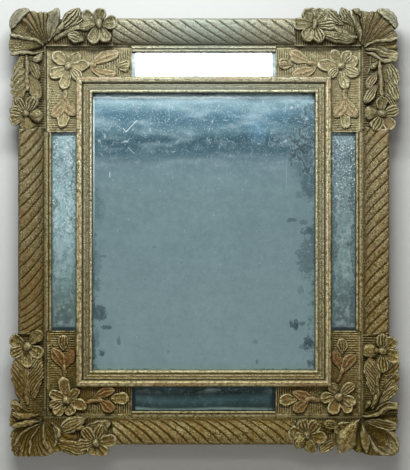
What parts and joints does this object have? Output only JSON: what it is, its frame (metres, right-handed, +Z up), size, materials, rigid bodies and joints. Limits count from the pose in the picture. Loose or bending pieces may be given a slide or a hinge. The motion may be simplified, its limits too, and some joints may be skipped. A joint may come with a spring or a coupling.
{
  "type": "wall mirror",
  "caption": "Carved gilded wall mirror: a main plate inside a border of narrow mirror strips, carved corners and fluted mouldings, with rings behind to hang it by.",
  "frame": {"origin": "centre of the back, on the wall plane", "axes": "+Y into the wall, +Z up, +X to the viewer's right"},
  "size_m": [0.5494, 0.058, 0.6296],
  "materials": {
    "gilded_wood": "aged gold leaf over red bole and gesso on carved wood",
    "back_pine": "planed softwood, darkened with age",
    "oak_pins": "cleft oak, unpolished",
    "main_mirror": "old tin and mercury silvering, foxed and scratched",
    "border_mirror": "old tin and mercury silvering, hazed",
    "wrought_iron": "forged, dark scale with some rust"
  },
  "bodies": {
    "frame": {"back_plank_left": "back_pine", "back_plank_middle": "back_pine", "back_plank_right": "back_pine", "back_rail_bottom": "back_pine", "back_rail_top": "back_pine", "back_stile_left": "back_pine", "back_stile_right": "back_pine", "border_packing_bottom": "back_pine", "border_packing_left": "back_pine", "border_packing_right": "back_pine", "border_packing_top": "back_pine", "border_plate_bottom": "border_mirror", "border_plate_left": "border_mirror", "border_plate_right": "border_mirror", "border_plate_top": "border_mirror", "corner_ornament_bottom_left": "gilded_wood", "corner_ornament_bottom_right": "gilded_wood", "corner_ornament_top_left": "gilded_wood", "corner_ornament_top_right": "gilded_wood", "corner_panel_bottom_left": "gilded_wood", "corner_panel_bottom_right": "gilded_wood", "corner_panel_top_left": "gilded_wood", "corner_panel_top_right": "gilded_wood", "frame_pegs": "oak_pins", "hanger_plate_left": "wrought_iron", "hanger_plate_right": "wrought_iron", "hanger_screws": "wrought_iron", "inner_moulding_bottom": "gilded_wood", "inner_moulding_left": "gilded_wood", "inner_moulding_right": "gilded_wood", "inner_moulding_top": "gilded_wood", "main_plate": "main_mirror", "mitre_keys": "oak_pins", "moulding_nails": "wrought_iron", "ornament_dowels": "oak_pins", "outer_moulding_bottom": "gilded_wood", "outer_moulding_left": "gilded_wood", "outer_moulding_right": "gilded_wood", "outer_moulding_top": "gilded_wood", "plank_nails": "wrought_iron", "plate_slip_bottom": "back_pine", "plate_slip_left": "back_pine", "plate_slip_right": "back_pine", "plate_slip_top": "back_pine"},
    "hanging_ring_left": {"hanging_ring_left": "wrought_iron"},
    "hanging_ring_right": {"hanging_ring_right": "wrought_iron"}
  },
  "joints": [
    {"name": "left_ring_swing", "type": "hinge", "parent": "frame", "child": "hanging_ring_left", "pos_m": [-0.212, -0.0039, 0.165], "axis": [1, 0, 0], "range_deg": [-4, 180]},
    {"name": "right_ring_swing", "type": "hinge", "parent": "frame", "child": "hanging_ring_right", "pos_m": [0.212, -0.0039, 0.165], "axis": [1, 0, 0], "range_deg": [-4, 180]}
  ]
}
